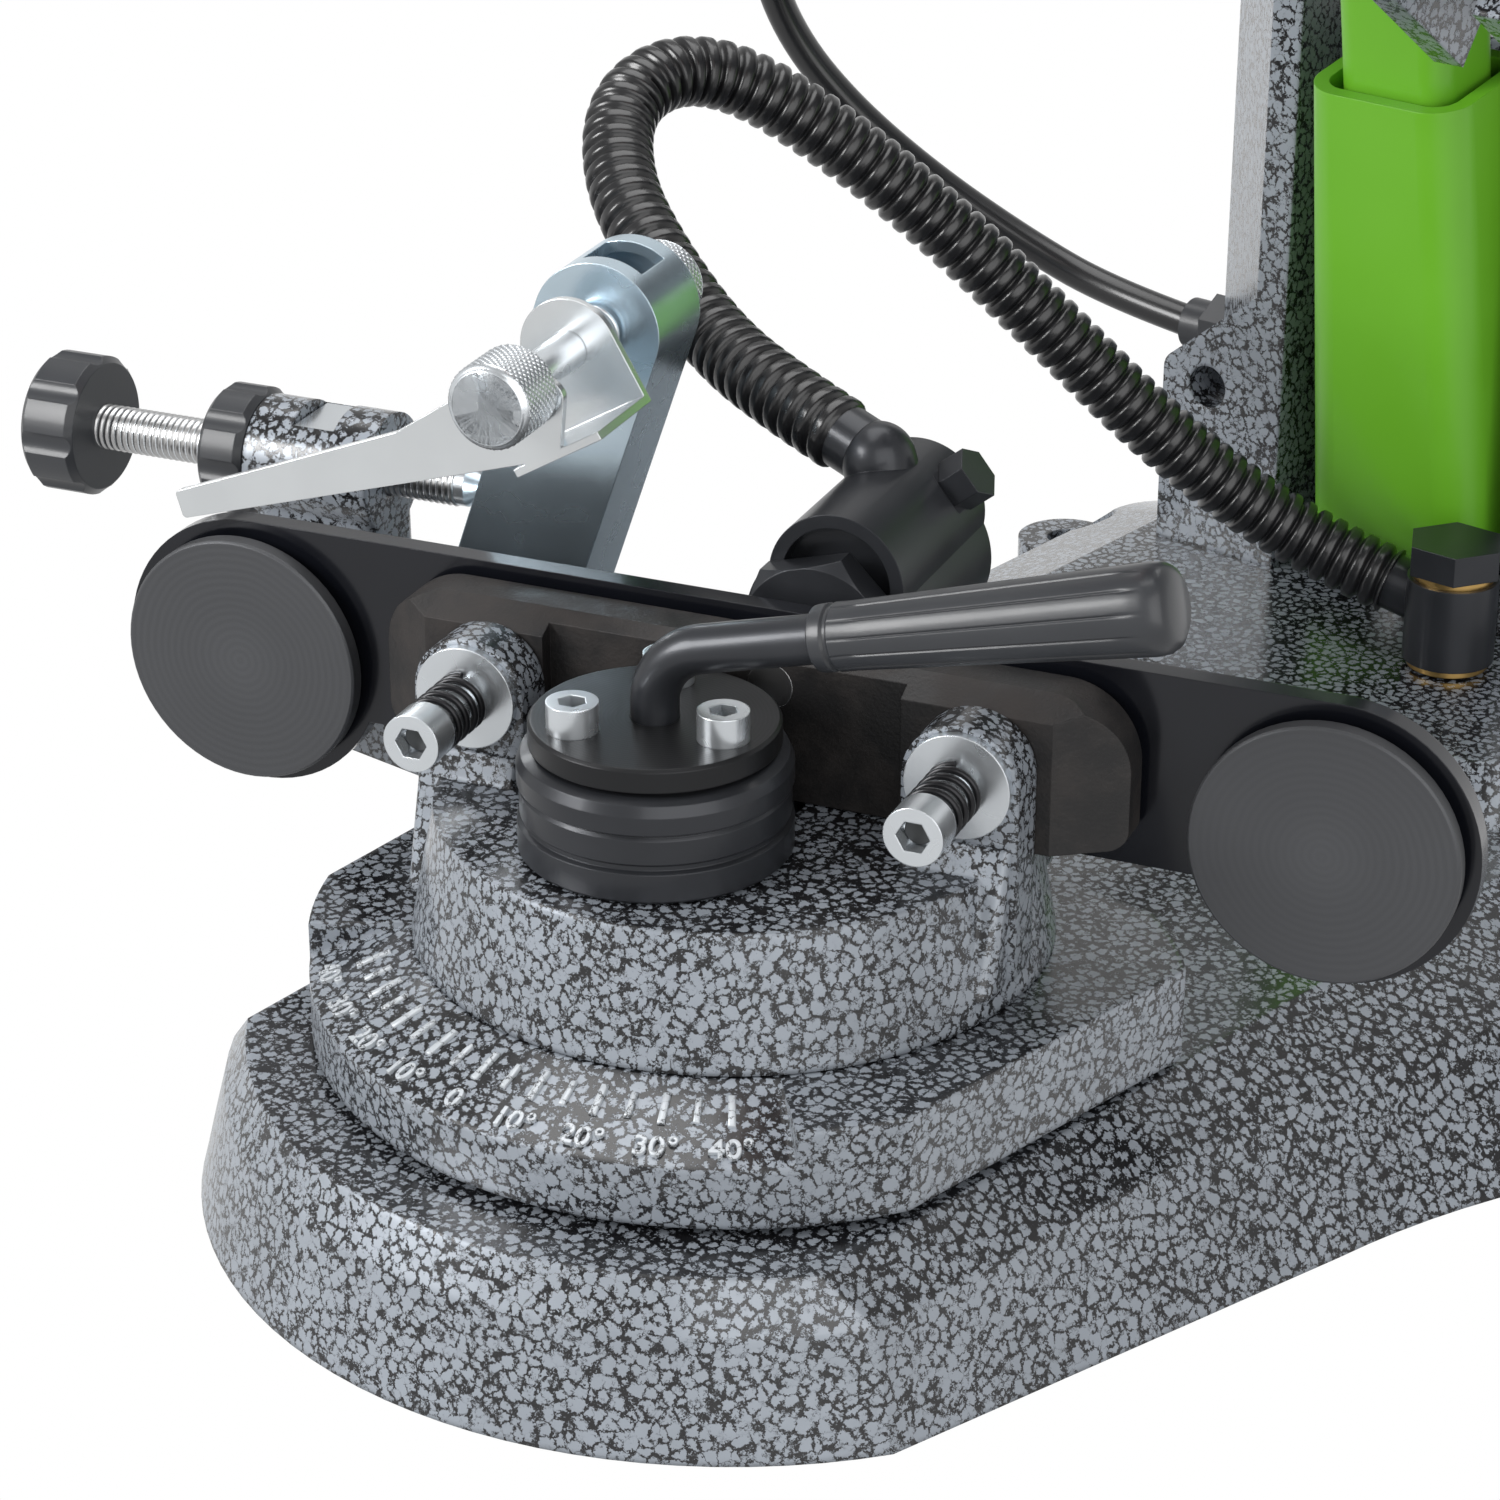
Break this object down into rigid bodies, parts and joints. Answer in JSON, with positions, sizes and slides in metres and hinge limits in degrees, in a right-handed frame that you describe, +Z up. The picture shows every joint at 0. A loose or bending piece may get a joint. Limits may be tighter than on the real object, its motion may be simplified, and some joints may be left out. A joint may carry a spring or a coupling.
{
  "type": "bench saw chain sharpener",
  "caption": "Bench saw chain sharpener with swivelling chain vise, cam lever, hydraulic chain clamp, chain stop and hinged grinding head.",
  "frame": {"origin": "where the swivel axis of the vise meets the bench", "axes": "+X to the operator's right, +Y back towards the column, +Z up from the bench"},
  "size_m": [0.3041, 0.366, 0.4713],
  "materials": {
    "hammertone": "glossy hammertone",
    "dark_steel": "satin black",
    "disc_grey": "matte dark grey",
    "blue_black": "glossy blue black",
    "cast_black": "rough cast",
    "zinc": "bright zinc",
    "steel": "turned",
    "charcoal": "matte moulded",
    "green": "moulded green",
    "rubber": "glossy black",
    "brass": "turned",
    "motor_grey": "satin grey",
    "abrasive": "matte grit",
    "red": "gloss"
  },
  "bodies": {
    "base": {"base_casting": "hammertone", "scale_plate": "hammertone", "swivel_stud": "steel", "swivel_nut": "zinc", "column": "hammertone", "column_screws": "steel", "hinge_pin": "steel", "outer_cover": "green", "master_cylinder": "steel", "banjo_fitting": "dark_steel", "banjo_washers": "brass", "banjo_bolt": "dark_steel", "column_gland": "charcoal", "hydraulic_hose": "rubber", "motor_cable": "rubber", "return_spring": "steel"},
    "vise": {"vise_body": "hammertone", "rear_rail": "blue_black", "rail_screws": "zinc", "guide_discs": "disc_grey", "disc_nuts": "zinc", "cam_pin": "steel", "spring_washers": "zinc", "slave_cylinder": "dark_steel", "gland_nut": "dark_steel", "bleed_screw": "zinc", "front_ferrule": "dark_steel", "captive_nut": "zinc", "stop_pin": "zinc"},
    "jaw": {"front_jaw": "cast_black", "jaw_screws": "zinc", "jaw_piston": "steel", "jaw_springs": "zinc"},
    "cam": {"cam_drum": "dark_steel", "cam_plate": "dark_steel", "cam_screws": "steel", "lever_rod": "dark_steel", "lever_grip": "charcoal"},
    "stop": {"stop_arm": "zinc", "stop_washer": "dark_steel", "pawl_spring": "zinc"},
    "pawl": {"chain_pawl": "zinc"},
    "stop_shaft": {"stop_knob": "zinc"},
    "shaft_nut": {"thumb_nut": "zinc"},
    "adjuster": {"adjuster_screw": "zinc"},
    "adjuster_head": {"adjuster_knob": "charcoal"},
    "lock": {"lock_knob": "charcoal"},
    "strut": {"inner_cover": "green", "push_rod": "steel"},
    "arm": {"head_arm": "hammertone", "motor_housing": "motor_grey", "motor_cap": "charcoal", "wheel_guard": "motor_grey", "handle_bar": "steel", "handle_grip": "charcoal", "switch_box": "charcoal"},
    "rocker": {"switch_rocker": "red"},
    "wheel": {"grinding_wheel": "abrasive", "wheel_spindle": "steel", "wheel_flange": "steel"}
  },
  "joints": [
    {"name": "vise_swivel", "type": "hinge", "parent": "base", "child": "vise", "pos_m": [0, 0, 0.05], "axis": [0, 0, 1], "range_deg": [-57, 23], "deforming": ["hydraulic_hose"]},
    {"name": "cam_lever", "type": "hinge", "parent": "vise", "child": "cam", "pos_m": [0.00261, -0.02101, 0.075], "axis": [0, 0, 1], "range_deg": [-90, 0]},
    {"name": "jaw_slide", "type": "slide", "parent": "vise", "child": "jaw", "axis": [-0.2924, 0.9563, 0], "range_m": [0, 0.0015], "deforming": ["jaw_springs"]},
    {"name": "stop_swing", "type": "hinge", "parent": "vise", "child": "stop", "pos_m": [-0.07274, 0.02586, 0.075], "axis": [-0.2924, 0.9563, 0], "range_deg": [-6.8, 6.8]},
    {"name": "pawl_lift", "type": "hinge", "parent": "stop", "child": "pawl", "pos_m": [-0.04894, 0.01641, 0.1335], "axis": [-0.2924, 0.9563, 0], "range_deg": [0, 45], "deforming": ["pawl_spring"]},
    {"name": "stop_knob_turn", "type": "hinge", "parent": "stop", "child": "stop_shaft", "pos_m": [-0.04894, 0.01641, 0.1335], "axis": [-0.2924, 0.9563, 0], "range_deg": [-360, 360]},
    {"name": "thumb_nut_turn", "type": "hinge", "parent": "stop", "child": "shaft_nut", "pos_m": [-0.05858, 0.04797, 0.1335], "axis": [-0.2924, 0.9563, 0], "range_deg": [-360, 360]},
    {"name": "adjuster_slide", "type": "slide", "parent": "vise", "child": "adjuster", "axis": [0.9563, 0.2924, 0], "range_m": [-0.00252, 0.00252]},
    {"name": "adjuster_turn", "type": "hinge", "parent": "adjuster", "child": "adjuster_head", "pos_m": [-0.15704, 0.00061, 0.0975], "axis": [0.9563, 0.2924, 0], "range_deg": [-720, 720]},
    {"name": "lock_knob_turn", "type": "hinge", "parent": "vise", "child": "lock", "pos_m": [-0.12453, 0.01055, 0.0975], "axis": [0.9563, 0.2924, 0], "range_deg": [-360, 360]},
    {"name": "arm_swing", "type": "hinge", "parent": "base", "child": "arm", "pos_m": [0, 0.232, 0.178], "axis": [1, 0, 0], "range_deg": [0, 30], "stiffness_Nm_per_rad": 12, "springref_deg": -85.94, "deforming": ["motor_cable"]},
    {"name": "strut_slide", "type": "slide", "parent": "base", "child": "strut", "axis": [0, 0.1736, -0.9848], "range_m": [0, 0.02], "deforming": ["return_spring"]},
    {"name": "wheel_spin", "type": "hinge", "parent": "arm", "child": "wheel", "pos_m": [0, 0.04998, 0.29812], "axis": [1, 0, 0], "continuous": true},
    {"name": "switch_rock", "type": "hinge", "parent": "arm", "child": "rocker", "pos_m": [-0.05485, 0.18852, 0.22051], "axis": [0, 0.5736, 0.8192], "range_deg": [0, 10]}
  ],
  "couplings": [
    {"joint": "jaw_slide", "follows": "cam_lever", "m_per_rad": -0.00095398},
    {"joint": "adjuster_slide", "follows": "adjuster_turn", "m_per_rad": 0.000199},
    {"joint": "stop_swing", "follows": "adjuster_turn", "ratio": 0.009375},
    {"joint": "strut_slide", "follows": "arm_swing", "m_per_rad": 0.036014}
  ]
}
